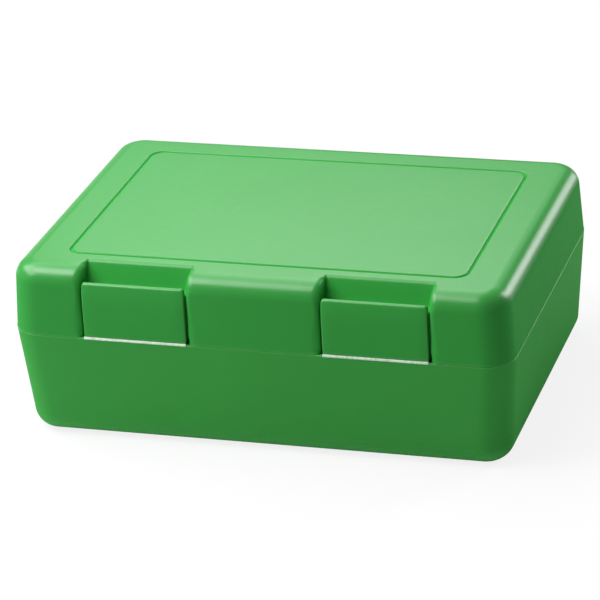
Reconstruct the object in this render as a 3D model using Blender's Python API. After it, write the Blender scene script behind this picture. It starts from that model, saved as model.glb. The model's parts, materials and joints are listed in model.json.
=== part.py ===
# Snap lid lunch box: a tapered base tray, a lid on two film hinges at the back and two front latches.
# Metres, +Z up. The front faces -Y, the box stands on z = 0 and the origin is the middle of its footprint.

import math

import bmesh
import bpy

# Box: outer sizes at the parting line, where the lid meets the base
BOX_LENGTH = 0.1850
BOX_WIDTH = 0.1300
BASE_HEIGHT = 0.0410
LID_HEIGHT = 0.0255
CORNER_RADIUS = 0.0110
BASE_DRAFT = 0.0033  # how far each base wall leans in from the parting line to the table
LID_DRAFT = 0.0010  # how far each lid wall leans in from the parting line to the top
LID_OVERHANG = 0.0002  # how far the lid stands out over the base, all round
FOOT_EDGE_RADIUS = 0.0070
LID_EDGE_RADIUS = 0.0068
WALL = 0.0018
FLOOR_THICKNESS = 0.0020
TOP_THICKNESS = 0.0020

# Rim: a tongue on the base stands inside a thin lip on the lid
PART_GAP = 0.0003  # clearance between pieces that meet
TONGUE_HEIGHT = 0.0020

# Framed panel on the lid
PANEL_END_MARGIN = 0.0182
PANEL_SIDE_MARGIN = 0.0161
PANEL_CORNER_RADIUS = 0.0055
GROOVE_WIDTH = 0.0011
GROOVE_DEPTH = 0.0005

# Latches
LATCH_INSET = 0.0482  # from an end of the box to the middle of the nearer latch
LATCH_WIDTH = 0.0386
LATCH_DROP = 0.0045  # top edge below the top of the lid
LATCH_THICKNESS = 0.0018
LATCH_SET_BACK = 0.0001  # of the latch foot behind the front of the lid
LATCH_LEAN = 0.0010  # how far the top edge leans in
LATCH_CORNER_RADIUS = 0.0012
LATCH_EDGE_ROUND = 0.0004
LATCH_SIDE_GAP = 0.0008
LATCH_BACK_GAP = 0.0004
TAB_RISE = 0.0015  # how far the plate stands up over its hook, as a finger tab
HOOK_HEIGHT = 0.0014
HOOK_NOSE = 0.0005  # upright face at the hook's tip
HOOK_BITE = 0.0010  # how far the hook reaches over the ledge

# Finger recesses in the lid, over the latches
FINGER_ROOM = 0.0051  # between the hook's tip and the back of the recess
RECESS_LIP_RADIUS = 0.0018

# Film hinges
FILM_THICKNESS = 0.0004
LATCH_FILM_HEIGHT = 0.0011
FILM_SEAT_DEPTH = 0.0004  # how far the base rim is lowered under each latch
REAR_HINGE_INSET = 0.0482  # from an end of the box to the middle of the nearer hinge
REAR_HINGE_WIDTH = 0.0460
REAR_BEND_RADIUS = 0.0010  # to the middle of the bent web

# Mesh fineness and finish
CORNER_STEPS = 10
EDGE_STEPS = 7
BEND_STEPS = 10
ROUND_STEPS = 2
COINCIDENT = 0.00001  # points closer than this are taken as one
SHARPEST_CORNER = 0.0005
CUT_MARGIN = 0.0050  # how far a cutter passes the surface it opens
SMOOTH_ANGLE = math.radians(35)
GREEN = (0.036, 0.30, 0.050, 1.0)
PALE_GREEN = (0.72, 0.86, 0.70, 1.0)
SATIN = 0.42

# Derived places
HALF_LENGTH = BOX_LENGTH / 2
HALF_WIDTH = BOX_WIDTH / 2
BOX_TOP = BASE_HEIGHT + LID_HEIGHT
LEDGE_Z = BASE_HEIGHT - PART_GAP / 2  # the base's rim
RIM_Z = BASE_HEIGHT + PART_GAP / 2  # the lid's rim
TONGUE_TOP = BASE_HEIGHT + TONGUE_HEIGHT
LIP_WALL = (LID_OVERHANG + WALL - PART_GAP) / 2  # lip and tongue share the wall between them

LATCH_MIDDLE = HALF_LENGTH - LATCH_INSET
LATCH_TOP = BOX_TOP - LATCH_DROP
HOOK_TOP = LATCH_TOP - TAB_RISE
HOOK_FOOT = HOOK_TOP - HOOK_HEIGHT
LATCH_FACE_Y = -HALF_WIDTH + LATCH_SET_BACK
SEAT_Y = LATCH_FACE_Y + LATCH_LEAN + LATCH_THICKNESS + LATCH_BACK_GAP
HOOK_TIP_Y = SEAT_Y + HOOK_BITE
RECESS_WIDTH = LATCH_WIDTH + 2 * LATCH_SIDE_GAP
RECESS_BACK_Y = HOOK_TIP_Y + FINGER_ROOM
RECESS_FLOOR = HOOK_FOOT - PART_GAP

FILM_SEAT = BASE_HEIGHT - FILM_SEAT_DEPTH
LATCH_FILM_FOOT = FILM_SEAT + PART_GAP
LATCH_FOOT = LATCH_FILM_FOOT + LATCH_FILM_HEIGHT + PART_GAP
LATCH_AXIS_Y = -HALF_WIDTH
LATCH_AXIS_Z = LATCH_FILM_FOOT + LATCH_FILM_HEIGHT / 2

REAR_HINGE_MIDDLE = HALF_LENGTH - REAR_HINGE_INSET
REAR_WEB_END_Y = HALF_WIDTH + PART_GAP
LID_AXIS_Y = REAR_WEB_END_Y + REAR_BEND_RADIUS
FRONT_REACH = HALF_WIDTH + FILM_THICKNESS / 2
REAR_REACH = LID_AXIS_Y + FILM_THICKNESS / 2
CENTRE_SHIFT = (FRONT_REACH - REAR_REACH) / 2  # brings the middle of the box's outline to the origin


def clear_scene():
    for item in list(bpy.data.objects):
        bpy.data.objects.remove(item, do_unlink=True)


def plastic(name, colour):
    material = bpy.data.materials.new(name)
    material.use_nodes = True
    shader = material.node_tree.nodes["Principled BSDF"]
    shader.inputs["Base Color"].default_value = colour
    shader.inputs["Roughness"].default_value = SATIN
    shader.inputs["Metallic"].default_value = 0.0
    return material


def rounded_rectangle(half_x, half_y, radius):
    points = []
    for quarter, (side_x, side_y) in enumerate(((1, -1), (1, 1), (-1, 1), (-1, -1))):
        for step in range(CORNER_STEPS + 1):
            angle = math.radians(90 * (quarter - 1 + step / CORNER_STEPS))
            x = side_x * (half_x - radius) + radius * math.cos(angle)
            y = side_y * (half_y - radius) + radius * math.sin(angle)
            points.append((x, y))
    return points


def box_ring(lean, offset, z):
    # The box's outline at one height: walls lean in by `lean`, then the whole outline shrinks by `offset`
    radius = max(CORNER_RADIUS - offset, SHARPEST_CORNER)
    inset = lean + offset
    return [(x, y, z) for x, y in rounded_rectangle(HALF_LENGTH - inset, HALF_WIDTH - inset, radius)]


def panel_ring(offset, z):
    half_x = HALF_LENGTH - LID_DRAFT - PANEL_END_MARGIN + offset
    half_y = HALF_WIDTH - LID_DRAFT - PANEL_SIDE_MARGIN + offset
    return [(x, y, z) for x, y in rounded_rectangle(half_x, half_y, PANEL_CORNER_RADIUS + offset)]


def base_lean(z):
    return LID_OVERHANG + BASE_DRAFT * (BASE_HEIGHT - z) / BASE_HEIGHT


def lid_lean(z):
    return LID_DRAFT * (z - BASE_HEIGHT) / LID_HEIGHT


def quarter_turn():
    # Sine and cosine along a quarter circle
    angles = [math.radians(90) * step / EDGE_STEPS for step in range(EDGE_STEPS + 1)]
    return [(math.sin(angle), math.cos(angle)) for angle in angles]


def make_object(name, bm, parent, place=(0, 0, 0)):
    bmesh.ops.recalc_face_normals(bm, faces=bm.faces)
    mesh = bpy.data.meshes.new(name)
    bm.to_mesh(mesh)
    bm.free()
    mesh.shade_smooth()
    mesh.set_sharp_from_angle(angle=SMOOTH_ANGLE)
    item = bpy.data.objects.new(name, mesh)
    bpy.context.collection.objects.link(item)
    item.parent = parent
    item.location = place
    return item


def skin(name, rings, parent, place=(0, 0, 0)):
    # A closed solid through a stack of rings, with its two ends filled
    bm = bmesh.new()
    loops = [[bm.verts.new(point) for point in ring] for ring in rings]
    for first, second in zip(loops, loops[1:]):
        for i, corner in enumerate(first):
            j = (i + 1) % len(first)
            bm.faces.new((corner, first[j], second[j], second[i]))
    bm.faces.new(list(reversed(loops[0])))
    bm.faces.new(loops[-1])
    return make_object(name, bm, parent, place)


def extruded_profile(profile, width, middle=0.0):
    # A (y, z) outline carried along X
    bm = bmesh.new()
    outline = [bm.verts.new((middle - width / 2, y, z)) for y, z in profile]
    face = bm.faces.new(outline)
    grown = bmesh.ops.extrude_face_region(bm, geom=[face])["geom"]
    moved = [item for item in grown if isinstance(item, bmesh.types.BMVert)]
    bmesh.ops.translate(bm, vec=(width, 0, 0), verts=moved)
    return bm


def round_edges(bm, edges, radius, steps):
    bmesh.ops.bevel(bm, geom=edges, offset=radius, segments=steps, profile=0.5, affect="EDGES")


def cut(target, cutter):
    cutter.hide_render = True
    cutter.display_type = "WIRE"
    modifier = target.modifiers.new("Cut " + cutter.name, "BOOLEAN")
    modifier.operation = "DIFFERENCE"
    modifier.solver = "EXACT"
    modifier.object = cutter


def latch_sides():
    return (("left", -LATCH_MIDDLE), ("right", LATCH_MIDDLE))


def base_tray(frame):
    turn = quarter_turn()
    foot_lean = base_lean(FOOT_EDGE_RADIUS)
    rings = []
    for sine, cosine in turn:
        rings.append(box_ring(foot_lean, FOOT_EDGE_RADIUS * (1 - sine), FOOT_EDGE_RADIUS * (1 - cosine)))
    tongue_face = LIP_WALL + PART_GAP
    rings.append(box_ring(base_lean(LEDGE_Z), 0, LEDGE_Z))
    rings.append(box_ring(0, tongue_face, LEDGE_Z))
    rings.append(box_ring(0, tongue_face, TONGUE_TOP))
    rings.append(box_ring(LID_OVERHANG, WALL, TONGUE_TOP))
    rings.append(box_ring(LID_OVERHANG, WALL, BASE_HEIGHT))
    inner_radius = max(FOOT_EDGE_RADIUS - WALL, SHARPEST_CORNER)
    for sine, cosine in reversed(turn):
        offset = WALL + inner_radius * (1 - sine)
        rings.append(box_ring(foot_lean, offset, FLOOR_THICKNESS + inner_radius * (1 - cosine)))
    tray = skin("base_tray", rings, frame)

    # The tongue and the top of the rim are left out under each latch
    notch_width = RECESS_WIDTH + 2 * (WALL + PART_GAP)
    notch_back = RECESS_BACK_Y + WALL
    notch_top = TONGUE_TOP + CUT_MARGIN
    notch_front = -HALF_WIDTH - CUT_MARGIN
    profile = (
        (notch_front, FILM_SEAT),
        (notch_back, FILM_SEAT),
        (notch_back, notch_top),
        (notch_front, notch_top),
    )
    for side, middle in latch_sides():
        bm = extruded_profile(profile, notch_width, middle)
        cut(tray, make_object(side + "_rim_notch_cutter", bm, frame))
    return tray


def lid_outer_rings():
    rings = [box_ring(lid_lean(RIM_Z), 0, RIM_Z)]
    shoulder = BOX_TOP - LID_EDGE_RADIUS
    for sine, cosine in quarter_turn():
        offset = LID_EDGE_RADIUS * (1 - cosine)
        rings.append(box_ring(lid_lean(shoulder), offset, shoulder + LID_EDGE_RADIUS * sine))
    # The groove's floor is half as wide as its mouth
    rings.append(panel_ring(GROOVE_WIDTH / 2, BOX_TOP))
    rings.append(panel_ring(GROOVE_WIDTH / 4, BOX_TOP - GROOVE_DEPTH))
    rings.append(panel_ring(-GROOVE_WIDTH / 4, BOX_TOP - GROOVE_DEPTH))
    rings.append(panel_ring(-GROOVE_WIDTH / 2, BOX_TOP))
    return rings


def lid_cavity_rings():
    rebate_top = TONGUE_TOP + PART_GAP
    rings = [box_ring(0, LIP_WALL, RIM_Z - CUT_MARGIN)]
    rings.append(box_ring(0, LIP_WALL, rebate_top))
    rings.append(box_ring(lid_lean(rebate_top), WALL, rebate_top))
    inner_radius = max(LID_EDGE_RADIUS - WALL, SHARPEST_CORNER)
    shoulder = BOX_TOP - TOP_THICKNESS - inner_radius
    for sine, cosine in quarter_turn():
        offset = WALL + inner_radius * (1 - cosine)
        rings.append(box_ring(lid_lean(shoulder), offset, shoulder + inner_radius * sine))
    return rings


def lid(frame):
    # The lid hangs on an empty that stands on its hinge axis
    axis = bpy.data.objects.new("lid_axis", None)
    bpy.context.collection.objects.link(axis)
    axis.parent = frame
    axis.location = (0, LID_AXIS_Y, BASE_HEIGHT)
    place = (0, -LID_AXIS_Y, -BASE_HEIGHT)
    shell = skin("lid", lid_outer_rings(), axis, place)
    cavity = skin("lid_cavity_cutter", lid_cavity_rings(), axis, place)

    # The lid's wall runs round each recess, so the cavity stops short of it by one wall
    bottom = RIM_Z - 2 * CUT_MARGIN
    top = BOX_TOP + CUT_MARGIN
    front = -HALF_WIDTH - CUT_MARGIN
    wall_round_recess = (
        (front, bottom),
        (SEAT_Y + WALL, bottom),
        (SEAT_Y + WALL, RECESS_FLOOR - WALL),
        (RECESS_BACK_Y + WALL, RECESS_FLOOR - WALL),
        (RECESS_BACK_Y + WALL, top),
        (front, top),
    )
    lip_arc = []
    for sine, cosine in quarter_turn():
        y = RECESS_BACK_Y + RECESS_LIP_RADIUS * (1 - cosine)
        lip_arc.append((y, BOX_TOP - RECESS_LIP_RADIUS * (1 - sine)))
    recess = [(front, bottom), (SEAT_Y, bottom), (SEAT_Y, RECESS_FLOOR), (RECESS_BACK_Y, RECESS_FLOOR)]
    recess += lip_arc
    recess += [(RECESS_BACK_Y + RECESS_LIP_RADIUS, top), (front, top)]

    for side, middle in latch_sides():
        bm = extruded_profile(wall_round_recess, RECESS_WIDTH + 2 * WALL, middle)
        cut(cavity, make_object(side + "_recess_wall_cutter", bm, axis, place))
    cut(shell, cavity)
    for side, middle in latch_sides():
        bm = extruded_profile(recess, RECESS_WIDTH, middle)
        cut(shell, make_object(side + "_recess_cutter", bm, axis, place))
    return shell


def latch(side, middle, frame):
    # The origin is on the film hinge. The hook's underside hangs just over the lid's ledge
    back_y = LATCH_FACE_Y + LATCH_THICKNESS
    slope = LATCH_LEAN / (LATCH_TOP - LATCH_FOOT)
    outline = (
        (LATCH_FACE_Y, LATCH_FOOT),
        (back_y, LATCH_FOOT),
        (back_y + slope * (HOOK_FOOT - LATCH_FOOT), HOOK_FOOT),
        (HOOK_TIP_Y, HOOK_FOOT),
        (HOOK_TIP_Y, HOOK_FOOT + HOOK_NOSE),
        (back_y + slope * (HOOK_TOP - LATCH_FOOT), HOOK_TOP),
        (back_y + LATCH_LEAN, LATCH_TOP),
        (LATCH_FACE_Y + LATCH_LEAN, LATCH_TOP),
    )
    bm = extruded_profile([(y - LATCH_AXIS_Y, z - LATCH_AXIS_Z) for y, z in outline], LATCH_WIDTH)

    # Round the two upper corners of the plate, then the rim of its outer face
    plate_top = LATCH_TOP - LATCH_AXIS_Z - COINCIDENT
    radius = min(LATCH_CORNER_RADIUS, TAB_RISE - COINCIDENT)
    corners = []
    for edge in bm.edges:
        first, second = (vert.co for vert in edge.verts)
        if min(first.z, second.z) > plate_top and abs(first.x - second.x) < COINCIDENT:
            corners.append(edge)
    round_edges(bm, corners, radius, EDGE_STEPS)
    bmesh.ops.recalc_face_normals(bm, faces=bm.faces)
    outer_face = min(bm.faces, key=lambda face: face.normal.y)
    round_edges(bm, list(outer_face.edges), LATCH_EDGE_ROUND, ROUND_STEPS)
    return make_object(side + "_latch", bm, frame, (middle, LATCH_AXIS_Y, LATCH_AXIS_Z))


def latch_film_hinge(side, middle, frame):
    half_thick = FILM_THICKNESS / 2
    half_high = LATCH_FILM_HEIGHT / 2
    outline = (
        (-half_thick, -half_high),
        (half_thick, -half_high),
        (half_thick, half_high),
        (-half_thick, half_high),
    )
    bm = extruded_profile(outline, LATCH_WIDTH)
    return make_object(side + "_latch_film_hinge", bm, frame, (middle, LATCH_AXIS_Y, LATCH_AXIS_Z))


def rear_film_hinge(side, middle, frame):
    # A half round web, bent out behind the parting line, with its origin on the lid's axis
    outer = []
    inner = []
    for step in range(BEND_STEPS + 1):
        angle = math.radians(180 * step / BEND_STEPS - 90)
        for arc, half in ((outer, FILM_THICKNESS / 2), (inner, -FILM_THICKNESS / 2)):
            radius = REAR_BEND_RADIUS + half
            arc.append((radius * math.cos(angle) - REAR_BEND_RADIUS, radius * math.sin(angle)))
    bm = extruded_profile(outer + inner[::-1], REAR_HINGE_WIDTH)
    return make_object(side + "_rear_film_hinge", bm, frame, (middle, LID_AXIS_Y, BASE_HEIGHT))


def main():
    clear_scene()
    frame = bpy.data.objects.new("box_frame", None)
    bpy.context.collection.objects.link(frame)
    frame.location = (0, CENTRE_SHIFT, 0)

    pieces = [(base_tray(frame), GREEN), (lid(frame), GREEN)]
    for side, middle in latch_sides():
        pieces.append((latch(side, middle, frame), GREEN))
        pieces.append((latch_film_hinge(side, middle, frame), PALE_GREEN))
    for side, middle in (("left", -REAR_HINGE_MIDDLE), ("right", REAR_HINGE_MIDDLE)):
        pieces.append((rear_film_hinge(side, middle, frame), GREEN))
    for piece, colour in pieces:
        piece.data.materials.append(plastic(piece.name + " plastic", colour))


main()
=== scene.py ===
import json
import math

import bpy
import numpy as np
from mathutils import Matrix, Vector


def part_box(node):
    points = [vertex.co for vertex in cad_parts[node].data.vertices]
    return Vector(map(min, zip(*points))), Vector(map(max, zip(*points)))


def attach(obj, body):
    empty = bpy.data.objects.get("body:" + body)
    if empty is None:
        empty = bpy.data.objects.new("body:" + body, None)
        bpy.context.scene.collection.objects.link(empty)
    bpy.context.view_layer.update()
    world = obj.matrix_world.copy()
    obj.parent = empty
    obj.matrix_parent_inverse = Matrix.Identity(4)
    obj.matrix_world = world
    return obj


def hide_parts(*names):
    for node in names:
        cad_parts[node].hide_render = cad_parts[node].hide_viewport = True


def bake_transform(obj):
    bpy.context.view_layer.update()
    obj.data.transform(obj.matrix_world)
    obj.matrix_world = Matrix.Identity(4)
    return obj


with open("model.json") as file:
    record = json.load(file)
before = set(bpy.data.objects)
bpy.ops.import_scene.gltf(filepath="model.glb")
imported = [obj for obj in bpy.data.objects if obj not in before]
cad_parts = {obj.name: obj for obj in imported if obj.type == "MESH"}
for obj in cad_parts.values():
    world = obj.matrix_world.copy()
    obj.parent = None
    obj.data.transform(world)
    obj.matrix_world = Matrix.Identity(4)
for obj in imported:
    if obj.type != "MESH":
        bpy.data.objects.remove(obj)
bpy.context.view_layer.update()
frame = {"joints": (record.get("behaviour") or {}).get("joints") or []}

# Green lunch box in satin polypropylene: tray, lid, two latches and the film hinges that join them.
# Metres, in the frame's own axes: the front faces -Y and the box stands on z = 0.

# Sizes read from the frame
lidLow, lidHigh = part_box("lid")
halfLength = lidHigh.x
halfWidth = (lidHigh.y - lidLow.y) / 2
midY = (lidHigh.y + lidLow.y) / 2
topZ = lidHigh.z
jointPlace = {joint["name"]: joint["pos_m"] for joint in frame["joints"]}
partingZ = jointPlace["lid_hinge"][2]
latchSides = ("left", "right")
latchMiddle = {side: jointPlace[side + "_latch_hinge"][0] for side in latchSides}
latchLow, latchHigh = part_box("right_latch")
halfLatch = (latchHigh.x - latchLow.x) / 2
print("frame read: box", round(2000 * halfLength, 1), "x", round(2000 * halfWidth, 1), "mm")


# Shared shape tools

skinForm = {
    "hollowReach": 3,       # how much wider a hollow reads than an edge
    "sharpAbove": 40,       # degrees between faces that keep a crisp edge
    "runGuard": 0.02,       # share of a straight run before its first point
    "leastCorner": 0.0005,  # smallest plan radius of a corner
    "shortStep": 1e-5,      # steps shorter than this hardly count as a turn
    "tiny": 1e-12,          # keeps divisions away from zero
    "cornerSteps": 18,
    "sideSteps": 10,
}
columnForm = {
    "roundedShare": 0.9,    # of a pocket's depth that its two roundings may take up
    "turnPoints": 12,       # round each of them
    "wallShares": (0.33, 0.67),
    "flatOutside": 0.6,     # share of the flat spread that lies outside the pocket's side
    "frontShare": 0.95,     # of the straight front that the pockets' columns may take up
    "middlePoints": 8,      # across a pocket, and between the two
    "cornerPoints": 4,      # out to each corner
}


def addObject(name, data):
    thing = bpy.data.objects.new(name, data)
    bpy.context.scene.collection.objects.link(thing)
    return thing


def blendTo(first, last, steps):
    # evenly spaced rows from first to last, leaving first out: first + (last - first) * t
    t = np.linspace(0, 1, steps + 1)[1:, None]
    return np.asarray(first) + (np.asarray(last) - np.asarray(first)) * t


def arcPoints(centre, radius, startDegrees, endDegrees, steps):
    # points on an arc, start left out: centre + radius * (cosine, sine) of the angle
    angle = np.radians(np.linspace(startDegrees, endDegrees, steps + 1))[1:]
    return np.column_stack([centre[0] + radius * np.cos(angle), centre[1] + radius * np.sin(angle)])


def innerShares(count):
    # evenly spaced shares between 0 and 1, both left out
    return np.linspace(0, 1, count + 2)[None, 1:-1]


def smoothStep(t):
    # eases from 0 to 1: three t squared less two t cubed
    t = np.clip(t, 0, 1)
    return t * t * (3 - 2 * t)


def surfaceTurn(points, reach):
    # edge and hollow: how sharply the surface turns outwards or inwards, which is the change of its normal
    # along a step over the step's length, times reach; upward: how far it faces up
    down = np.gradient(points, axis=0)
    along = np.roll(points, -1, axis=1) - np.roll(points, 1, axis=1)
    normal = np.cross(down, along)
    normal /= np.linalg.norm(normal, axis=2, keepdims=True) + skinForm["tiny"]
    outwards = np.zeros(points.shape[:2])
    inwards = outwards
    for axis in (0, 1):
        step = np.roll(points, -1, axis) - points
        change = np.roll(normal, -1, axis) - normal
        bend = (step * change).sum(2) / ((step * step).sum(2) + skinForm["shortStep"] ** 2)
        if axis == 0:
            bend[-1] = 0
        near = np.roll(bend, 1, axis)
        outwards = np.maximum(outwards, np.maximum(bend, near))
        inwards = np.maximum(inwards, np.maximum(-bend, -near))
    return {
        "edge": np.clip(outwards * reach, 0, 1),
        "hollow": np.clip(inwards * reach * skinForm["hollowReach"], 0, 1),
        "upward": np.clip(normal[:, :, 2], 0, 1),
    }


def gridSkin(name, points, ends, reach, recess=None, scuff=0):
    # points[row, column] closes round its columns; each end row is closed by a fan or by one flat face.
    # From 0 to 1, recess says how dull the hollows are and how much painted hollow light they get, in
    # place of the measured turn inwards; the last argument says how much painted bounce light a point
    # gets.
    rows, columns = points.shape[:2]
    index = np.arange(rows * columns).reshape(rows, columns)
    after = np.roll(index, -1, axis=1)
    faces = np.stack([index[:-1], index[1:], after[1:], after[:-1]], axis=-1).reshape(-1, 4).tolist()
    vertices = points.reshape(-1, 3)
    measures = surfaceTurn(points, reach)
    if recess is not None:
        measures["hollow"] = recess
    measures["scuff"] = np.broadcast_to(scuff, (rows, columns))
    measures = {key: values.ravel() for key, values in measures.items()}
    if ends == "fan":
        first, last = rows * columns, rows * columns + 1
        vertices = np.vstack([vertices, points[0].mean(0), points[-1].mean(0)])
        measures = {key: np.append(values, (values[0], values[-1])) for key, values in measures.items()}
        faces += np.column_stack([np.full(columns, first), index[0], after[0]]).tolist()
        faces += np.column_stack([np.full(columns, last), after[-1], index[-1]]).tolist()
    else:
        faces += [index[0].tolist(), index[-1][::-1].tolist()]
    mesh = bpy.data.meshes.new(name)
    mesh.from_pydata(vertices.tolist(), [], faces)
    for key, values in measures.items():
        mesh.attributes.new(key, "FLOAT", "POINT").data.foreach_set("value", values.astype(np.float32))
    mesh.shade_smooth()
    mesh.set_sharp_from_angle(angle=math.radians(skinForm["sharpAbove"]))
    return addObject(name, mesh)


def frontColumns(rows, pocket):
    # x and depth share of each front column in each row. Towards a pocket the columns run round its outer
    # fillet, which is an ellipse, down its leaning side wall and round its root; where the pocket has no
    # depth they spread out flat.
    depth = np.hypot(pocket["inset"] - (halfWidth - rows[:, 1]), pocket["z"] - rows[:, 3])[:, None]
    outer, root, side = (pocket[key][:, None] for key in ("outer", "root", "side"))
    fit = np.minimum(1, columnForm["roundedShare"] * depth / (outer + root))
    outer, root = outer * fit, root * fit
    wide = outer * pocket["stretch"]
    turn = np.radians(np.linspace(0, 90, columnForm["turnPoints"]))[None, :]
    wall = np.array(columnForm["wallShares"])[None, :]
    x = np.hstack([-side - wide * (1 - np.sin(turn)), -side + 0 * wall, -side + root * (1 - np.cos(turn))])
    sunk = np.hstack([
        outer * (1 - np.cos(turn)),
        outer + (depth - root - outer) * wall,
        depth - root * (1 - np.sin(turn)),
    ])
    x = x + pocket["lean"][:, None] * sunk
    share = sunk / np.maximum(depth, skinForm["tiny"])
    t = np.linspace(0, 1, x.shape[1])[None, :]
    steep = np.clip(depth / pocket["steepFrom"], 0, 1)
    flatX = -side + pocket["flatSpread"] * (t - columnForm["flatOutside"])
    x = x * steep + flatX * (1 - steep)
    share = share * steep + smoothStep(t) * (1 - steep)

    inside = x[:, -1:] * (1 - 2 * innerShares(columnForm["middlePoints"]))
    x = np.hstack([x, inside, -x[:, ::-1]])
    share = np.hstack([share, np.ones_like(inside), share[:, ::-1]])

    # two pockets, with plain runs between them and out to the corners
    straight = (rows[:, 0] - rows[:, 2])[:, None]
    middle = latchMiddle["right"]
    outermost = middle + side.max() + pocket["flatSpread"]
    squeeze = np.minimum(1, columnForm["frontShare"] * straight / outermost)
    leftX, rightX = (x - middle) * squeeze, (x + middle) * squeeze
    gap = rightX[:, :1] - leftX[:, -1:]
    between = leftX[:, -1:] + gap * innerShares(columnForm["middlePoints"])
    run = innerShares(columnForm["cornerPoints"])
    leftRun = -straight + (leftX[:, :1] + straight) * run
    rightRun = rightX[:, -1:] + (straight - rightX[:, -1:]) * run
    x = np.hstack([leftRun, leftX, between, rightX, rightRun])
    share = np.hstack([0 * leftRun, share, 0 * between, share, 0 * rightRun])
    return x, share


def ringGrid(rows, pocket):
    # each row is a rounded rectangle (half length, half width, corner radius, z), run round from the front
    # left: the front columns, then a quarter circle at each corner with straight runs between them
    halfX, halfY, radius, z = (rows[:, column:column + 1] for column in range(4))
    straightX, straightY = halfX - radius, halfY - radius
    frontX, share = frontColumns(rows, pocket)
    frontY = -halfY + share * (pocket["inset"][:, None] - halfWidth + halfY)
    frontZ = z + share * (pocket["z"][:, None] - z)
    run = np.linspace(-1, 1, skinForm["sideSteps"] + 1)[None, 1:-1]
    turn = np.radians(np.linspace(0, 90, skinForm["cornerSteps"] + 1))[None, :]
    sides = (
        (halfX + 0 * run, straightY * run),
        (-straightX * run, halfY + 0 * run),
        (-halfX + 0 * run, -straightY * run),
    )
    xs, ys = [frontX], [frontY]
    for quarter, (sideX, sideY) in enumerate(((1, -1), (1, 1), (-1, 1), (-1, -1))):
        angle = turn + math.radians(90 * (quarter - 1))
        xs.append(sideX * straightX + radius * np.cos(angle))
        ys.append(sideY * straightY + radius * np.sin(angle))
        if quarter < len(sides):
            xs.append(sides[quarter][0])
            ys.append(sides[quarter][1])
    x, y = np.hstack(xs), np.hstack(ys)
    plainZ = np.broadcast_to(z, (len(rows), x.shape[1] - frontZ.shape[1]))
    return np.stack([x, y + midY, np.hstack([frontZ, plainZ])], axis=-1)


def wallRows(section, cornerRadius, leanAt, follow=1.0):
    # rows from a wall section of (inset, z): the plan radius shrinks with the inset, apart from the wall's
    # lean: cornerRadius - follow * (inset - lean)
    inset, z = section[:, 0], section[:, 1]
    lean = np.interp(z, *leanAt)
    radius = np.maximum(cornerRadius - follow * (inset - lean), skinForm["leastCorner"])
    return np.column_stack([halfLength - inset, halfWidth - inset, radius, z])


def capRows(row, shares):
    # rows shrunk towards the middle of a flat cap
    return np.column_stack([np.outer(shares, row[:3]), np.full(len(shares), row[3])])


# Lid: a hollow shell with a framed panel and two finger pockets

lidForm = {
    "cornerRadius": 0.0110,
    "draft": 0.0013,        # lean of the walls from the parting line to the top
    "edgeRadius": 0.0068,
    "wall": 0.0018,
    "top": 0.0020,
    "rimGap": 0.00004,      # half of the open line between lid and tray
    "lowerEdge": 0.00006,   # rounding of the rim's outer edge
    "flare": 0.00012,       # how far the rim turns out at its foot
    "flareHeight": 0.0013,
    "innerEdge": 0.00012,
    "lip": 0.00085,         # the thin lip outside the tray's tongue
    "rebate": 0.0023,       # height of the step that takes the tongue
    "panelEnd": 0.0190,     # margins of the framed panel
    "panelSide": 0.0170,
    "panelCorner": 0.0050,
    "grooveWidth": 0.0017,
    "grooveDepth": 0.00060,
    "grooveDull": 0.5,      # share of its depth from which it is all dull and fully painted with the hollow light
    "grooveLips": (1.08, 1.25),  # rows beside the groove, in half widths of it
    "grooveRows": 19,
    "marginRows": 3,        # from the groove to the pockets' lips
    "flatRows": 15,         # from there to the top edge
    "edgeRows": 18,
    "sideRows": 6,
    "flareRows": 4,
    "rimRows": 6,
    "panelShares": (0.04, 0.25, 0.5, 0.75, 0.92),  # rows of the panel, out from the middle
    "ceilingShares": (0.8, 0.6, 0.4, 0.2, 0.04),  # rows of the ceiling, in towards the middle
}
pocketForm = {
    "sideGap": 0.0006,      # beside the latch
    "seatInset": 0.0033,    # the wall behind the latch, from the front of the lid
    "backInset": 0.0112,
    "backSlope": 28,        # degrees, so that the back faces up a little
    "ledgeDrop": 0.0077,    # ledge below the lid's top
    "lipRadius": 0.0021,
    "rootRadius": 0.0009,
    "ledgeRadius": 0.0006,
    "sideFillet": 0.0030,   # between the lid's front and the pocket's side, as deep as this
    "topFillet": 0.0017,    # the same along the lid's top
    "filletStretch": 1.15,  # width of these fillets over their depth
    "sideLean": 0.15,       # how far the sides lean in above the ledge, per depth
    "steepFrom": 0.00015,   # depth at which the columns have left their flat spread
    "flatSpread": 0.0026,
    "dullDepth": 0.0030,    # below the plain form, where the smooth finish ends and the painted hollow light is full
    "sideDull": 0.0010,     # the same on the pocket's sides
    "sideBelow": 0.999,     # share of a row's full depth under which a point is on a side
    "lipRows": 10,
    "rootRows": 6,
    "ledgeRows": 7,
}


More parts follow.
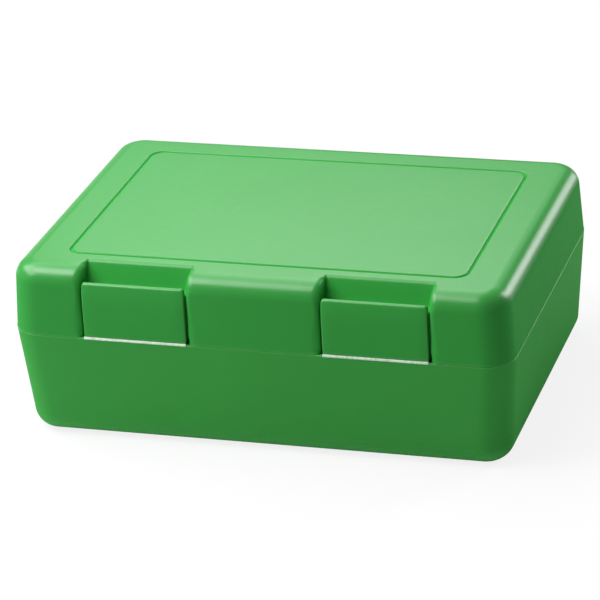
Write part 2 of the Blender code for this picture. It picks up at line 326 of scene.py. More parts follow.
def lidSections():
    # the plain section and the pocket's section, row for row, as (inset, z), and the lean of the wall
    form = lidForm
    height = topZ - partingZ
    rimZ = partingZ + form["rimGap"]
    edgeRadius, wall, lip = form["edgeRadius"], form["wall"], form["lip"]
    edge, inner = form["lowerEdge"], form["innerEdge"]
    shoulder = topZ - edgeRadius
    lean = form["flare"] + form["draft"] * (shoulder - partingZ) / height
    arcInset = lean + edgeRadius
    flareZ = rimZ + form["flareHeight"]
    flareTop = form["flare"] + form["draft"] * form["flareHeight"] / height
    rebateTop = partingZ + form["rebate"]
    innerRadius = edgeRadius - wall
    innerInset = wall + lean + innerRadius
    ceiling = topZ - form["top"]
    innerShoulder = ceiling - innerRadius

    slope = math.radians(pocketForm["backSlope"])
    lipRadius, rootRadius = pocketForm["lipRadius"], pocketForm["rootRadius"]
    ledgeRadius = pocketForm["ledgeRadius"]
    seat, back = pocketForm["seatInset"], pocketForm["backInset"]
    seatInside, backInside = seat + wall, back + wall
    joinInset = back + 2 * wall
    lipInset = back + lipRadius
    lipFoot = lipInset - lipRadius * math.cos(slope)
    lipFootZ = topZ - lipRadius * (1 - math.sin(slope))
    ledgeZ = topZ - pocketForm["ledgeDrop"]
    underZ = ledgeZ - wall
    footZ = ledgeZ + rootRadius * (1 - math.sin(slope))
    foot = lipFoot - (lipFootZ - footZ) * math.tan(slope)
    root = foot - rootRadius * math.cos(slope)

    flatRows, edgeRows, rimRows = form["flatRows"], form["edgeRows"], form["rimRows"]
    sideRows, flareRows = form["sideRows"], form["flareRows"]
    lipRows, rootRows, ledgeRows = (pocketForm[key] for key in ("lipRows", "rootRows", "ledgeRows"))
    # the flare is a parabola that leaves the wall without a kink
    t = np.linspace(0, 1, flareRows + 1)[1:]
    flare = np.column_stack([flareTop * (1 - t ** 2), flareZ + (rimZ + edge - flareZ) * t])

    # inside, the two sections match in steps of 2, 3, 4, 8, 10 and 10
    plain = [
        blendTo((lipInset, topZ), (arcInset, topZ), flatRows),
        arcPoints((arcInset, shoulder), edgeRadius, 90, 180, edgeRows),
        blendTo((lean, shoulder), (flareTop, flareZ), sideRows),
        flare,
        arcPoints((edge, rimZ + edge), edge, 180, 270, rimRows),
        blendTo((edge, rimZ), (lip - inner, rimZ), 2),
        arcPoints((lip - inner, rimZ + inner), inner, 270, 360, 3),
        blendTo((lip, rimZ + inner), (lip, rebateTop), 2),
        blendTo((lip, rebateTop), (wall, rebateTop), 2),
        blendTo((wall, rebateTop), (wall + lean, innerShoulder), 8),
        arcPoints((innerInset, innerShoulder), innerRadius, 180, 90, 10),
        blendTo((innerInset, ceiling), (joinInset, ceiling), 10),
    ]
    pocket = [
        arcPoints((lipInset, topZ - lipRadius), lipRadius, 90, 180 - pocketForm["backSlope"], lipRows),
        blendTo((lipFoot, lipFootZ), (foot, footZ), flatRows - lipRows),
        arcPoints((root, ledgeZ + rootRadius), rootRadius, -pocketForm["backSlope"], -90, rootRows),
        blendTo((root, ledgeZ), (seat + ledgeRadius, ledgeZ), edgeRows - rootRows - ledgeRows),
        arcPoints((seat + ledgeRadius, ledgeZ - ledgeRadius), ledgeRadius, 90, 180, ledgeRows),
        blendTo((seat, ledgeZ - ledgeRadius), (seat, rimZ + edge), sideRows + flareRows),
        arcPoints((seat + edge, rimZ + edge), edge, 180, 270, rimRows),
        blendTo((seat + edge, rimZ), (seatInside - inner, rimZ), 2),
        arcPoints((seatInside - inner, rimZ + inner), inner, 270, 360, 3),
        blendTo((seatInside, rimZ + inner), (seatInside, rebateTop + inner), 4),
        blendTo((seatInside, rebateTop + inner), (seatInside, underZ - rootRadius), 8),
        arcPoints((seatInside + rootRadius, underZ - rootRadius), rootRadius, 180, 90, 4),
        blendTo((seatInside + rootRadius, underZ), (backInside - rootRadius, underZ), 2),
        arcPoints((backInside - rootRadius, underZ + rootRadius), rootRadius, -90, 0, 4),
        blendTo((backInside, underZ + rootRadius), (backInside, ceiling - rootRadius), 5),
        arcPoints((backInside + rootRadius, ceiling - rootRadius), rootRadius, 180, 90, 4),
        blendTo((backInside + rootRadius, ceiling), (joinInset, ceiling), 1),
    ]
    return np.vstack(plain), np.vstack(pocket), ((partingZ, shoulder), (0, lean))


def lidGrid():
    # top panel and groove, then the sections down the wall and up inside, then the ceiling. Also, from 0
    # to
    # 1, how dull each point is and how much painted hollow light it gets: this grows with a pocket's
    # depth, or the groove's, below the plain form.
    form, deepForm = lidForm, pocketForm
    plain, deep, leanAt = lidSections()
    walls = wallRows(plain, form["cornerRadius"], leanAt)
    panelX, panelY = halfLength - form["panelEnd"], halfWidth - form["panelSide"]
    panel = np.array([panelX, panelY, form["panelCorner"], topZ])
    # the groove's section is a parabola between two sharp lips
    lips = np.array(form["grooveLips"])
    across = np.concatenate([-lips[::-1], np.linspace(-1, 1, form["grooveRows"]), lips])
    dip = form["grooveDepth"] * np.maximum(1 - across ** 2, 0)
    groove = panel + np.outer(across * form["grooveWidth"] / 2, (1, 1, 1, 0)) - np.outer(dip, (0, 0, 0, 1))
    flatRows, edgeRows = form["flatRows"], form["edgeRows"]
    lipRow = walls[0].copy()
    arcRow = walls[flatRows - 1]
    lipInset = deepForm["backInset"] + deepForm["lipRadius"]
    lipRow[:3] = halfLength - lipInset, halfWidth - lipInset, (groove[-1, 2] + arcRow[2]) / 2
    margin = blendTo(groove[-1], lipRow, form["marginRows"])
    share = np.linspace(0, 1, flatRows + 1)[1:]
    walls[:flatRows, 2] = lipRow[2] + (arcRow[2] - lipRow[2]) * share
    ceiling = capRows(walls[-1], form["ceilingShares"])
    top = np.vstack([capRows(groove[0], form["panelShares"]), groove, margin])
    rows = np.vstack([top, walls, ceiling])

    outsideRows = flatRows + edgeRows + form["sideRows"] + form["flareRows"] + form["rimRows"]
    insideFrom = len(top) + outsideRows + 1
    rowNumber = np.arange(len(rows))
    isInside = rowNumber >= insideFrom
    down = smoothStep((rowNumber - len(top) - flatRows) / edgeRows)
    fillet = deepForm["topFillet"] + (deepForm["sideFillet"] - deepForm["topFillet"]) * down
    rootRadius = deepForm["rootRadius"]
    halfPocket = halfLatch + deepForm["sideGap"]
    pocket = {
        "inset": np.concatenate([halfWidth - top[:, 1], deep[:, 0], halfWidth - ceiling[:, 1]]),
        "z": np.concatenate([top[:, 3], deep[:, 1], ceiling[:, 3]]),
        "side": np.where(isInside, halfPocket + form["wall"], halfPocket),
        "outer": np.where(isInside, rootRadius, fillet),
        "root": np.where(isInside, deepForm["sideFillet"] - rootRadius, rootRadius),
        "stretch": deepForm["filletStretch"],
        "lean": np.where(isInside, 0, deepForm["sideLean"] * (1 - down)),
        "steepFrom": deepForm["steepFrom"],
        "flatSpread": deepForm["flatSpread"],
    }
    grid = ringGrid(rows, pocket)
    plainGrid = ringGrid(rows, dict(pocket, inset=halfWidth - rows[:, 1], z=rows[:, 3]))
    sunk = np.linalg.norm((grid - plainGrid)[:, :, 1:], axis=2)
    sunk[insideFrom:] = 0
    isSide = sunk < deepForm["sideBelow"] * sunk.max(1, keepdims=True)
    # this mask also lays the painted hollow light, a more saturated green, in the pockets and the groove
    recess = smoothStep(sunk / np.where(isSide, deepForm["sideDull"], deepForm["dullDepth"]))
    grooveFrom = len(form["panelShares"])
    grooveRecess = smoothStep(dip / (form["grooveDull"] * form["grooveDepth"]))
    recess[grooveFrom:grooveFrom + len(groove)] = grooveRecess[:, None]
    return grid, recess


# Tray: tapered walls, a round foot edge and a tongue round the rim that stops short of the latches

trayForm = {
    "cornerRadius": 0.0110,
    "draft": 0.0031,        # lean of the walls from the parting line to the table
    "stepIn": 0.00004,      # behind the lid's wall
    "footRadius": 0.0077,
    "footFollow": 1.20,     # share of the foot's rounding that the plan corners follow
    "wall": 0.0018,
    "floor": 0.0020,
    "rimGap": 0.00004,
    "rimEdge": 0.00025,
    "rimBand": 0.0004,      # last row of the wall, close under the rim
    "tongueGap": 0.0003,
    "tongueHeight": 0.0020,
    "tongueEdge": 0.00025,
    "notchGap": 0.0003,     # beside the wall round the lid's pocket
    "notchRadius": 0.0003,
    "scuffFrom": 0.0080,    # heights between which the foot is painted paler, as painted bounce light from the table
    "scuffFull": 0.0026,
    "capShares": (0.04, 0.25, 0.5, 0.75, 0.93),  # rows of underside and floor, out from the middle
}


def trayGrid():
    # from the middle of the underside out round the foot, up the wall, over the tongue and down inside,
    # turned round at the end so that the faces look outwards; also how much painted bounce light each row
    # gets
    form = trayForm
    foot, wall, stepIn = form["footRadius"], form["wall"], form["stepIn"]
    edge, tip = form["rimEdge"], form["tongueEdge"]
    rimZ = partingZ - form["rimGap"]
    footLean = stepIn + form["draft"] * (partingZ - foot) / partingZ
    tongueOut = lidForm["lip"] + form["tongueGap"]
    tongueIn = stepIn + wall
    tongueTop = rimZ + form["tongueHeight"]
    innerRadius = foot - wall
    innerFoot, innerZ = footLean + wall, form["floor"] + innerRadius
    bandZ = rimZ - edge - form["rimBand"]
    bandInset = stepIn + form["draft"] * form["rimBand"] / partingZ
    plain = np.vstack([
        arcPoints((footLean + foot, foot), foot, 270, 180, 16),
        blendTo((footLean, foot), (bandInset, bandZ), 13),
        blendTo((bandInset, bandZ), (stepIn, rimZ - edge), 1),
        arcPoints((stepIn + edge, rimZ - edge), edge, 180, 90, 5),
        blendTo((stepIn + edge, rimZ), (tongueOut, rimZ), 2),
        blendTo((tongueOut, rimZ), (tongueOut, tongueTop - tip), 2),
        arcPoints((tongueOut + tip, tongueTop - tip), tip, 180, 90, 4),
        arcPoints((tongueIn - tip, tongueTop - tip), tip, 90, 0, 4),
        blendTo((tongueIn, tongueTop - tip), (tongueIn, rimZ), 2),
        blendTo((tongueIn, rimZ), (innerFoot, innerZ), 12),
        arcPoints((innerFoot + innerRadius, innerZ), innerRadius, 180, 270, 12),
    ])
    walls = wallRows(plain, form["cornerRadius"], ((foot, rimZ), (footLean, stepIn)), form["footFollow"])
    under = capRows(np.append(walls[0, :3], 0.0), form["capShares"])
    floor = capRows(walls[-1], form["capShares"][::-1])
    rows = np.vstack([under, walls, floor])

    # behind the latches the tongue is cut down to the rim
    z = rows[:, 3].copy()
    isTongue = z > rimZ
    z[isTongue] = rimZ
    everyRow = np.ones(len(rows))
    halfNotch = halfLatch + pocketForm["sideGap"] + lidForm["wall"] + form["notchGap"]
    notch = {
        "inset": halfWidth - rows[:, 1],
        "z": z,
        "side": halfNotch * everyRow,
        "outer": form["notchRadius"] * everyRow,
        "root": form["notchRadius"] * everyRow,
        "stretch": 1,
        "lean": 0 * everyRow,
        "steepFrom": pocketForm["steepFrom"],
        "flatSpread": pocketForm["flatSpread"],
    }
    # painted bounce light: the foot's lowest rows are painted paler, fading out upwards
    scuff = smoothStep((form["scuffFrom"] - rows[:, 3]) / (form["scuffFrom"] - form["scuffFull"]))
    scuff[np.argmax(isTongue):] = 0
    return ringGrid(rows, notch)[::-1], scuff[::-1, None]


# Latch: a leaning plate with round upper corners and a hook behind its finger tab

latchForm = {
    "thickness": 0.0018,
    "lean": 0.0006,         # of the top edge, inwards
    "curl": 0.0011,         # further in, along a curve near the top
    "curlHeight": 0.0075,
    "hookCurl": 0.35,       # share of the curl that the hook follows
    "footReach": 0.0007,    # down over the film hinge
    "topDrop": 0.0003,
    "sideInset": 0.00015,
    "tabRise": 0.0015,      # plate above the hook
    "hookHeight": 0.0014,
    "hookNose": 0.0005,
    "cornerRadius": 0.0011,
    "faceEdge": 0.00040,    # rounding of the outer face
    "backEdge": 0.00040,
    "topEdge": 0.00075,
    "hookEdge": 0.00030,
    "noseEdge": 0.00021,
    "hookRoot": 0.00015,
    "endEdge": 0.00045,
    "sideCrown": 0.00030,   # how far the face falls back towards its ends
    "crownReach": 0.0030,
    "hookInset": 0.0012,    # hook ends inside the plate's ends
    "hookFrom": 1e-6,       # behind the plate's back, where a point belongs to the hook
    "arcSteps": 8,
    "runSteps": 6,
    "endRows": 16,
    "middleRows": 22,
}


def roundedLoop(corners, radii, arcSteps, runSteps):
    # closed outline through corners, each rounded by a circle that touches both of its sides
    before = np.roll(corners, 1, axis=0) - corners
    after = np.roll(corners, -1, axis=0) - corners
    before /= np.linalg.norm(before, axis=1, keepdims=True)
    after /= np.linalg.norm(after, axis=1, keepdims=True)
    half = np.arccos(np.clip((before * after).sum(1), -1, 1)) / 2
    reach = (radii / np.tan(half))[:, None]
    start, end = corners + before * reach, corners + after * reach
    t = np.linspace(0, 1, arcSteps + 1)[None, :, None]
    # a conic through start, corner and end, weighted so that it is a true arc
    weight = np.sin(half)[:, None, None]
    over = (1 - t) ** 2 + 2 * weight * t * (1 - t) + t ** 2
    arcs = ((1 - t) ** 2 * start[:, None] + 2 * weight * t * (1 - t) * corners[:, None]
            + t ** 2 * end[:, None]) / over
    # points close to each rounding keep the edge's painted highlight and gloss off the flats
    guard = skinForm["runGuard"]
    shares = np.concatenate([[guard], np.linspace(0, 1, runSteps + 1)[1:-1], [1 - guard]])[None, :, None]
    runs = end[:, None] + (np.roll(start, -1, axis=0) - end)[:, None] * shares
    return np.concatenate([arcs, runs], axis=1).reshape(-1, 2)


def latchGrid(middle):
    # the (y, z) outline carried along x; towards the ends it shrinks by the end rounding and its top comes
    # down, both along a quarter circle: radius - root of (radius squared - past squared)
    form = latchForm
    face, foot, top = latchLow.y, latchLow.z - form["footReach"], latchHigh.z - form["topDrop"]
    tip = latchHigh.y
    hookTop = top - form["tabRise"]
    hookFoot = hookTop - form["hookHeight"]
    slope = form["lean"] / (top - foot)
    back = face + form["thickness"]
    # y, z and rounding of each corner
    corners = np.array([
        (face, foot, form["faceEdge"]),
        (face + form["lean"], top, form["topEdge"]),
        (back + form["lean"], top, form["topEdge"]),
        (back + slope * (hookTop - foot), hookTop, form["hookEdge"]),
        (tip, hookFoot + form["hookNose"], form["noseEdge"]),
        (tip, hookFoot, form["noseEdge"]),
        (back + slope * (hookFoot - foot), hookFoot, form["hookRoot"]),
        (back, foot, form["backEdge"]),
    ])
    loop = roundedLoop(corners[:, :2], corners[:, 2], form["arcSteps"], form["runSteps"])
    tangent = np.roll(loop, -1, axis=0) - np.roll(loop, 1, axis=0)
    tangent /= np.linalg.norm(tangent, axis=1, keepdims=True)
    outward = np.column_stack([-tangent[:, 1], tangent[:, 0]])

    corner, end = form["cornerRadius"], form["endEdge"]
    reach = halfLatch - form["sideInset"]
    turn = np.radians(np.linspace(0, 90, form["endRows"]))
    side = reach - corner + corner * np.sin(turn)
    inner = np.linspace(-1, 1, form["middleRows"] + 2)[1:-1] * (reach - corner)
    x = np.concatenate([-side[::-1], inner, side])
    past = np.maximum(np.abs(x) - reach + corner, 0)
    drop = corner - np.sqrt(np.maximum(corner ** 2 - past ** 2, 0))
    past = np.maximum(np.abs(x) - reach + end, 0)
    shrink = end - np.sqrt(np.maximum(end ** 2 - past ** 2, 0))

    # the hook fades into the plate, and is half gone where it is hookInset from the plate's ends
    y, z = loop[None, :, 0], loop[None, :, 1]
    plateBack = back + slope * (z - foot)
    fade = smoothStep((reach - form["hookInset"] - np.abs(x)) / form["hookInset"] + 0.5)[:, None]
    y = np.where(y > plateBack, plateBack + (y - plateBack) * fade, y)
    curl = form["curl"] * np.clip(1 - (top - z) / form["curlHeight"], 0, 1) ** 2
    curl = curl * np.where(y > plateBack + form["hookFrom"], form["hookCurl"], 1)
    crown = form["sideCrown"] * np.clip(1 - (reach - np.abs(x)) / form["crownReach"], 0, 1)[:, None] ** 2
    y = y + curl + crown - shrink[:, None] * outward[None, :, 0]
    lift = smoothStep((z - hookTop) / (top - hookTop))
    z = z - shrink[:, None] * np.maximum(outward[None, :, 1], 0) - drop[:, None] * lift
    return np.stack([np.broadcast_to(x[:, None], y.shape) + middle, y, z], axis=-1)


def carried(loop, x):
    # a (y, z) outline carried along x
    return np.stack(np.broadcast_arrays(x[:, None], loop[None, :, 0], loop[None, :, 1]), axis=-1)


# Latch film hinge: the thin bowed web under a latch, whitened where it bends

latchFilmForm = {
    "thickness": 0.00036,
    "reachDown": 0.00042,   # over the tray's rim
    "topDrop": 0.00051,     # where the latch's foot takes over
    "tuck": 0.00030,        # ends of the web behind its middle
    "endInset": 0.0002,
    "heightPoints": 18,
    "lengthRows": 60,
}


def latchFilmGrid(side):
    # a flat tube carried along x; its middle line bows outwards between rim and latch, as half a sine wave
    form = latchFilmForm
    low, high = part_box(side + "_latch_film_hinge")
    bottom, top = low.z - form["reachDown"], high.z - form["topDrop"]
    half = form["thickness"] / 2
    lineY = low.y + half + form["tuck"]
    up = np.linspace(0, 1, form["heightPoints"])
    spine = np.column_stack([lineY - form["tuck"] * np.sin(np.pi * up), bottom + (top - bottom) * up])
    loop = np.vstack([spine - (half, 0), (spine + (half, 0))[::-1]])
    x = np.linspace(low.x + form["endInset"], high.x - form["endInset"], form["lengthRows"])
    middle = (low.x + high.x) / 2
    return carried(loop, x), (middle, lineY, bottom), (middle, lineY, top)


# Rear film hinge: a half round web between lid and tray, with feet that run into both walls

rearFilmForm = {
    "thickness": 0.00040,
    "bendRadius": 0.0010,
    "footReach": 0.00075,   # into the wall
    "footFlare": 0.00022,
    "footSteps": 5,
    "bendSteps": 18,
    "lengthRows": 70,
}


def rearFilmGrid(side):
    # the web's section is a half circle with straight feet, thickened along its normal and carried along x
    form = rearFilmForm
    low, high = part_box(side + "_rear_film_hinge")
    axisZ = (low.z + high.z) / 2
    radius = form["bendRadius"]
    centreY = high.y - form["thickness"] / 2 - radius
    foot = centreY - form["footReach"]
    spine = np.vstack([
        [(foot, axisZ - radius)],
        blendTo((foot, axisZ - radius), (centreY, axisZ - radius), form["footSteps"]),
        arcPoints((centreY, axisZ), radius, -90, 90, form["bendSteps"]),
        blendTo((centreY, axisZ + radius), (foot, axisZ + radius), form["footSteps"]),
    ])
    tangent = np.gradient(spine, axis=0)
    tangent /= np.linalg.norm(tangent, axis=1, keepdims=True)
    normal = np.column_stack([tangent[:, 1], -tangent[:, 0]])
    flare = form["footFlare"] * smoothStep(1 - (spine[:, 0] - foot) / form["footReach"])
    half = (form["thickness"] / 2 + flare)[:, None]
    loop = np.vstack([spine + normal * half, (spine - normal * half)[::-1]])[::-1]
    x = np.linspace(low.x, high.x, form["lengthRows"])
    middle = (low.x + high.x) / 2
    return carried(loop, x), (middle, centreY, low.z), (middle, centreY, high.z)


# Finishes

finish = {
    "green": (0.043, 0.338, 0.059),
    "deepGreen": (0.040, 0.324, 0.055),
    # painted light: the tray's two greens are a lighter copy of the lid's, standing in for more light on
    # the tray
    "trayGreen": (0.055, 0.364, 0.067),
    "trayDeepGreen": (0.052, 0.350, 0.063),
    # painted light: a paler green, laid on sharp edges as a painted highlight and on the tray's foot as
    # painted bounce light
    "rubbedGreen": (0.084, 0.450, 0.104),
    # painted light: a more saturated green laid in pockets, the groove and inner corners, standing in for
    # light bounced round them
    "hollowGreen": (0.037, 0.357, 0.054),
    "filmWhite": (0.74, 0.90, 0.73),
    "filmGreen": (0.44, 0.72, 0.45),
    "rubFrom": 0.3,         # sharpness at which edges start to get the painted highlight and the extra coat
    "rubShare": 0.5,        # of the paler green on a sharp edge, a painted highlight
    "roughness": 0.70,
    "roughDrift": 0.04,     # how far it drifts to both sides
    "filmDrift": 0.08,
    "specular": 0.05,
    "coatRoughness": 0.27,
    "coatIor": 1.5,
    "coatLeast": 0.88,      # weight of the coat at the low end of the sheen's noise
    "matteBelow": 0.22,     # share of a face's normal that points up
    "smoothAbove": 0.50,
    "grainSize": 0.00042,
    "grainHeight": 0.000012,
    "coarseShare": 0.35,    # of the coarse noise in the grain's height
    "noiseEnds": (0.3, 0.7),  # between which most of a noise lies
    "streakEnds": (0.45, 0.80),
    "streakStretch": (1.0, 0.15, 0.15),
}
noises = {
    # the fine one takes its scale from the size of the grain
    "fine": {"Detail": 2.0, "Roughness": 0.6},
    "coarse": {"Scale": 260.0, "Detail": 3.0},
    "flow": {"Scale": 16.0, "Detail": 2.0, "Distortion": 0.6},
    "streak": {"Scale": 900.0, "Detail": 3.0},
}
edgeReach = {"shell": 0.0005, "latch": 0.0004, "film": 0.0002}  # radius at which an edge is fully sharp
colourA, colourB, colourOut = 6, 7, 2  # a Mix node's sockets for colours


def newMaterial(name):
    material = bpy.data.materials.new(name)
    material.use_nodes = True
    tree = material.node_tree
    return material, tree, tree.nodes["Principled BSDF"]


def addNode(tree, kind, place, **settings):
    node = tree.nodes.new(kind)
    node.location = place
    for key, value in settings.items():
        setattr(node, key, value)
    return node


def addMath(tree, place, operation, *values, **settings):
    # each value is a number or another node's output
    node = addNode(tree, "ShaderNodeMath", place, operation=operation, **settings)
    for socket, value in zip(node.inputs, values):
        if isinstance(value, (int, float)):
            socket.default_value = value
        else:
            tree.links.new(value, socket)
    return node.outputs["Value"]


def addRange(tree, place, value, fromEnds, toEnds=(0.0, 1.0), kind="LINEAR"):
    # value carried from one range to the other
    node = addNode(tree, "ShaderNodeMapRange", place, interpolation_type=kind)
    for key, end in zip(("From Min", "From Max", "To Min", "To Max"), (*fromEnds, *toEnds)):
        node.inputs[key].default_value = end
    tree.links.new(value, node.inputs["Value"])
    return node.outputs["Result"]


def addMix(tree, place, factor, first, second):
    # first is a colour or another node's output, second a colour
    node = addNode(tree, "ShaderNodeMix", place, data_type="RGBA")
    if isinstance(first, tuple):
        node.inputs[colourA].default_value = (*first, 1)
    else:
        tree.links.new(first, node.inputs[colourA])
    node.inputs[colourB].default_value = (*second, 1)
    tree.links.new(factor, node.inputs["Factor"])
    return node.outputs[colourOut]


def addNoise(tree, place, vector, kind):
    node = addNode(tree, "ShaderNodeTexNoise", place)
    for key, value in noises[kind].items():
        node.inputs[key].default_value = value
    tree.links.new(vector, node.inputs["Vector"])
    return node


def addMeasure(tree, place, name):
    return addNode(tree, "ShaderNodeAttribute", place, attribute_name=name).outputs["Fac"]


def addGrain(tree, place, grain, vector, shader):
    # the grain's bump goes straight to the shader, and its other values are returned
    texture = addNode(tree, "ShaderNodeGroup", place, node_tree=grain)
    texture.inputs["Scale"].default_value = 1 / finish["grainSize"]
    tree.links.new(vector, texture.inputs["Vector"])
    bump = addNode(tree, "ShaderNodeBump", (-450, -300))
    bump.inputs["Distance"].default_value = finish["grainHeight"]
    tree.links.new(texture.outputs["Height"], bump.inputs["Height"])
    tree.links.new(bump.outputs["Normal"], shader.inputs["Normal"])
    return texture.outputs["Sheen"], texture.outputs["Flow"]


def mouldedGrain():
    # the fine texture of the mould: two sizes of noise give a height, and a slow noise gives the flow of
    # the melt
    group = bpy.data.node_groups.new("Moulded grain", "ShaderNodeTree")
    group.interface.new_socket("Vector", in_out="INPUT", socket_type="NodeSocketVector")
    group.interface.new_socket("Scale", in_out="INPUT", socket_type="NodeSocketFloat")
    for name in ("Height", "Sheen", "Flow"):
        group.interface.new_socket(name, in_out="OUTPUT", socket_type="NodeSocketFloat")
    enter = addNode(group, "NodeGroupInput", (-800, 0))
    leave = addNode(group, "NodeGroupOutput", (500, 0))
    vector = enter.outputs["Vector"]
    fine = addNoise(group, (-400, 200), vector, "fine")
    group.links.new(enter.outputs["Scale"], fine.inputs["Scale"])
    coarse = addNoise(group, (-400, -100), vector, "coarse").outputs["Fac"]
    flow = addNoise(group, (-400, -400), vector, "flow").outputs["Fac"]
    height = addMath(group, (0, 150), "MULTIPLY_ADD", coarse, finish["coarseShare"], fine.outputs["Fac"])
    for name, output in (("Height", height), ("Sheen", coarse), ("Flow", flow)):
        group.links.new(output, leave.inputs[name])
    return group


def satinPlastic(name, grain, plain, deep):
    # the melt's flow drifts from plain to deep green; sharp edges are glossier and get a painted highlight
    # in a paler green, the foot gets the same green as painted bounce light, and hollows are dull and get
    # painted light in a more saturated green
    material, tree, shader = newMaterial(name)
    links = tree.links
    place = addNode(tree, "ShaderNodeTexCoord", (-1200, 0))
    sheen, flow = addGrain(tree, (-1000, 0), grain, place.outputs["Object"], shader)
    edge = addMeasure(tree, (-1000, -300), "edge")
    # painted bounce light on the tray's foot
    scuff = addMeasure(tree, (-1000, -650), "scuff")
    hollow = addMeasure(tree, (-1000, -150), "hollow")
    upward = addMeasure(tree, (-1000, -500), "upward")

    spread = addRange(tree, (-850, 300), flow, finish["noiseEnds"])
    drift = addMix(tree, (-700, 300), spread, plain, deep)
    rubFrom, edgePaleTo = (finish["rubFrom"], 1.0), (0.0, finish["rubShare"])
    # painted highlight on sharp edges; with the foot's painted bounce light it mixes towards the paler
    # green
    edgeGlossAndPale = addRange(tree, (-850, -100), edge, rubFrom, edgePaleTo, kind="SMOOTHSTEP")
    paintedPale = addMath(tree, (-650, -100), "MAXIMUM", edgeGlossAndPale, scuff)
    withPaintedPale = addMix(tree, (-450, 300), paintedPale, drift, finish["rubbedGreen"])
    # painted light in hollows: the hollow measure mixes towards the more saturated green
    shaded = addMix(tree, (-250, 300), hollow, withPaintedPale, finish["hollowGreen"])
    links.new(shaded, shader.inputs["Base Color"])

    roughEnds = (finish["roughness"] - finish["roughDrift"], finish["roughness"] + finish["roughDrift"])
    gloss = addRange(tree, (-700, 0), sheen, finish["noiseEnds"], roughEnds)
    links.new(gloss, shader.inputs["Roughness"])
    shader.inputs["Specular IOR Level"].default_value = finish["specular"]

    # faces that look up, and rounded edges, come from the smooth part of the mould
    smoothEnds = (finish["matteBelow"], finish["smoothAbove"])
    smooth = addRange(tree, (-800, -500), upward, smoothEnds, kind="SMOOTHSTEP")
    glossy = addMath(tree, (-600, -500), "MAXIMUM", smooth, edgeGlossAndPale)
    uneven = addRange(tree, (-600, -700), sheen, finish["noiseEnds"], (finish["coatLeast"], 1.0))
    coat = addMath(tree, (-400, -600), "MULTIPLY", glossy, uneven)
    notHollow = addMath(tree, (-400, -800), "SUBTRACT", 1.0, hollow, use_clamp=True)
    weight = addMath(tree, (-250, -600), "MULTIPLY", coat, notHollow)
    links.new(weight, shader.inputs["Coat Weight"])
    shader.inputs["Coat Roughness"].default_value = finish["coatRoughness"]
    shader.inputs["Coat IOR"].default_value = finish["coatIor"]
    return material


def whitenedFilm(name, grain):
    # stress whitened plastic: streaks across the bend fade from white to green
    material, tree, shader = newMaterial(name)
    links = tree.links
    place = addNode(tree, "ShaderNodeTexCoord", (-1200, 0))
    stretch = addNode(tree, "ShaderNodeMapping", (-1000, 200))
    stretch.inputs["Scale"].default_value = finish["streakStretch"]
    links.new(place.outputs["Object"], stretch.inputs["Vector"])
    streak = addNoise(tree, (-800, 200), stretch.outputs["Vector"], "streak")
    spread = addRange(tree, (-600, 200), streak.outputs["Fac"], finish["streakEnds"])
    colour = addMix(tree, (-400, 200), spread, finish["filmWhite"], finish["filmGreen"])
    links.new(colour, shader.inputs["Base Color"])
    sheen = addGrain(tree, (-800, -200), grain, place.outputs["Object"], shader)[0]
    roughEnds = (finish["roughness"] - finish["filmDrift"], finish["roughness"] + finish["filmDrift"])
    gloss = addRange(tree, (-500, -100), sheen, (0.0, 1.0), roughEnds)
    links.new(gloss, shader.inputs["Roughness"])
    return material


# Pieces

grain = mouldedGrain()
trayPlastic = satinPlastic("Tray green", grain, finish["trayGreen"], finish["trayDeepGreen"])
lidPlastic = satinPlastic("Lid green", grain, finish["green"], finish["deepGreen"])
latchPlastic = satinPlastic("Latch green", grain, finish["green"], finish["deepGreen"])
rearPlastic = satinPlastic("Rear film green", grain, finish["green"], finish["deepGreen"])
filmPlastic = whitenedFilm("Latch film white", grain)
print("finishes ready")


def dress(piece, material, node):
    piece.data.materials.append(material)
    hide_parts(node)


grid, scuff = trayGrid()
tray = gridSkin("trayShell", grid, "fan", edgeReach["shell"], scuff=scuff)
dress(tray, trayPlastic, "base_tray")
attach(tray, "base")
grid, recess = lidGrid()
lid = gridSkin("lidShell", grid, "fan", edgeReach["shell"], recess)
dress(lid, lidPlastic, "lid")
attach(lid, "lid")
print("tray and lid made")

for side in latchSides:
    plate = gridSkin(side + "LatchPlate", latchGrid(latchMiddle[side]), "flat", edgeReach["latch"])
    dress(plate, latchPlastic, side + "_latch")
    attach(plate, side + "_latch")
    grid, start, end = latchFilmGrid(side)
    film = gridSkin(side + "LatchFilm", grid, "flat", edgeReach["film"])
    dress(film, filmPlastic, side + "_latch_film_hinge")
    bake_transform(film)
    grid, start, end = rearFilmGrid(side)
    web = gridSkin(side + "RearFilm", grid, "flat", edgeReach["film"])
    dress(web, rearPlastic, side + "_rear_film_hinge")
    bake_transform(web)
print("latches and film hinges made")


# Studio: a white floor that keeps a soft shadow, soft lamps and the camera

studio = {
    "floorSize": 6.0,
    "floorDrop": 0.0002,    # under the box
    "floorShade": 0.70,     # as it lights the box
    "floorSeen": 0.85,      # as the camera sees it
    "seenWhite": 0.84,      # white laid over the floor's own shading, as the camera sees it
    "glossWhite": 0.04,     # and as gloss and glass show it
    "worldLight": 0.06,
}


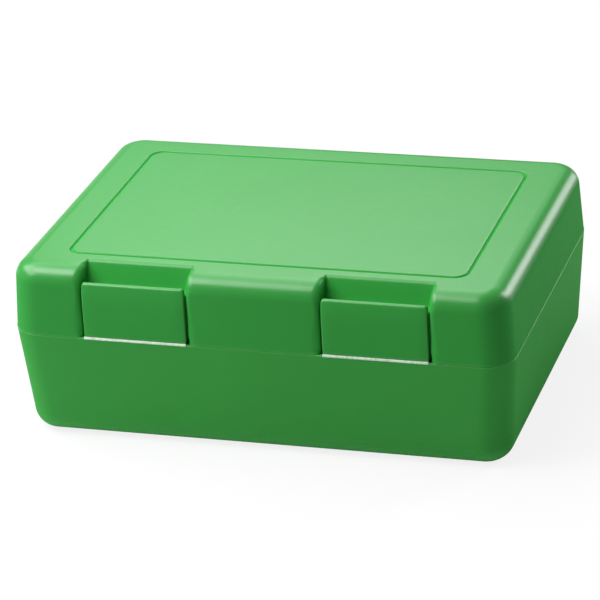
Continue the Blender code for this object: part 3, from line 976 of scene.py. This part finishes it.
def whiteFloor():
    # a matt floor, with plain white laid over it by the kind of ray that meets it
    half, down = studio["floorSize"] / 2, -studio["floorDrop"]
    mesh = bpy.data.meshes.new("floor")
    corners = [(-half, -half, down), (half, -half, down), (half, half, down), (-half, half, down)]
    mesh.from_pydata(corners, [], [(0, 1, 2, 3)])
    floor = addObject("floor", mesh)
    material, tree, plainShader = newMaterial("White floor")
    tree.nodes.remove(plainShader)
    links = tree.links
    path = addNode(tree, "ShaderNodeLightPath", (-1000, -200)).outputs
    through = addMath(tree, (-800, -300), "MAXIMUM", path["Is Glossy Ray"], path["Is Transmission Ray"])
    gloss = addMath(tree, (-600, -300), "MULTIPLY", through, studio["glossWhite"])
    share = addMath(tree, (-400, -200), "MULTIPLY_ADD", path["Is Camera Ray"], studio["seenWhite"], gloss)
    lit, seen = (studio["floorShade"],) * 3, (studio["floorSeen"],) * 3
    tone = addMix(tree, (-400, 200), path["Is Camera Ray"], lit, seen)
    shade = addNode(tree, "ShaderNodeBsdfDiffuse", (-200, 200))
    links.new(tone, shade.inputs["Color"])
    white = addNode(tree, "ShaderNodeEmission", (-200, 0))
    mix = addNode(tree, "ShaderNodeMixShader", (100, 100))
    links.new(share, mix.inputs["Fac"])
    links.new(shade.outputs["BSDF"], mix.inputs[1])
    links.new(white.outputs["Emission"], mix.inputs[2])
    links.new(mix.outputs["Shader"], tree.nodes["Material Output"].inputs["Surface"])
    mesh.materials.append(material)


def softWorld():
    # an even, dim white from all round
    world = bpy.data.worlds.new("Studio")
    bpy.context.scene.world = world
    world.use_nodes = True
    background = world.node_tree.nodes["Background"]
    background.inputs["Strength"].default_value = studio["worldLight"]
    background.inputs["Color"].default_value = (1, 1, 1, 1)


lamps = {
    # name: azimuth from the back towards the right, elevation, distance, width, height, radiance
    "key": (-106, 45, 0.65, 0.62, 0.40, 5.8),
    "overLeft": (-90, 75, 1.0, 0.50, 0.40, 2.6),
    "overFront": (-138, 64, 1.0, 0.50, 0.40, 4.3),
    "overBack": (-20, 64, 1.0, 0.50, 0.35, 1.8),
    "backUpper": (-30, 50, 1.0, 0.60, 0.35, 2.0),
    "back": (-19, 33, 1.0, 0.34, 0.30, 2.3),
    "backEdge": (1, 30, 1.0, 0.28, 0.22, 1.1),
    "backLow": (-30, 8, 1.0, 0.50, 0.20, 0.55),
    "strip": (28, 11, 2.0, 0.42, 0.76, 5.2),
    "right": (46, 26, 1.0, 0.36, 0.45, 6.3),
}


def softbox(name, azimuth, elevation, distance, width, height, radiance):
    # a rectangle lamp that faces the middle of the box; its power is radiance * pi * area
    turn, rise = math.radians(azimuth), math.radians(elevation)
    away = Vector((math.sin(turn) * math.cos(rise), math.cos(turn) * math.cos(rise), math.sin(rise)))
    data = bpy.data.lights.new(name, "AREA")
    data.shape = "RECTANGLE"
    data.size, data.size_y = width, height
    data.energy = radiance * math.pi * width * height
    lamp = addObject(name, data)
    lamp.location = Vector((0, midY, topZ / 2)) + away * distance
    lamp.rotation_euler = away.to_track_quat("Z", "Y").to_euler()


cameraForm = {
    "target": (0, midY, 0.030),
    "distance": 1.20678,
    "yaw": 18.177,          # degrees towards the right of the front
    "pitch": 24.663,
    "roll": -3.852,
    "focal": 3264.5,        # in pixels of a 600 pixel frame
    "offset": (8.06, 2.05),  # of the lens axis from the middle of the frame, in pixels, right and down
    "frame": 600,
    "sensor": 36.0,
    "clip": (0.01, 20),
}


def photoCamera():
    # looks at the target from its distance, turned by yaw, pitch and roll, with the lens shifted
    form = cameraForm
    yaw, pitch, roll = (math.radians(form[key]) for key in ("yaw", "pitch", "roll"))
    ahead = Vector((-math.sin(yaw) * math.cos(pitch), math.cos(yaw) * math.cos(pitch), -math.sin(pitch)))
    right = Vector((math.cos(yaw), math.sin(yaw), 0))
    up = right.cross(ahead)
    across = right * math.cos(roll) + up * math.sin(roll)
    over = up * math.cos(roll) - right * math.sin(roll)
    data = bpy.data.cameras.new("camera")
    data.sensor_width = form["sensor"]
    data.lens = form["focal"] / form["frame"] * form["sensor"]
    data.shift_x = -form["offset"][0] / form["frame"]
    data.shift_y = form["offset"][1] / form["frame"]
    data.clip_start, data.clip_end = form["clip"]
    camera = addObject("camera", data)
    turned = Matrix((across, over, -ahead)).transposed()
    place = Vector(form["target"]) - ahead * form["distance"]
    camera.matrix_world = Matrix.Translation(place) @ turned.to_4x4()
    bpy.context.scene.camera = camera


whiteFloor()
softWorld()
for name, values in lamps.items():
    softbox(name, *values)
photoCamera()
bpy.context.scene.view_settings.view_transform = "Standard"
print("studio ready")
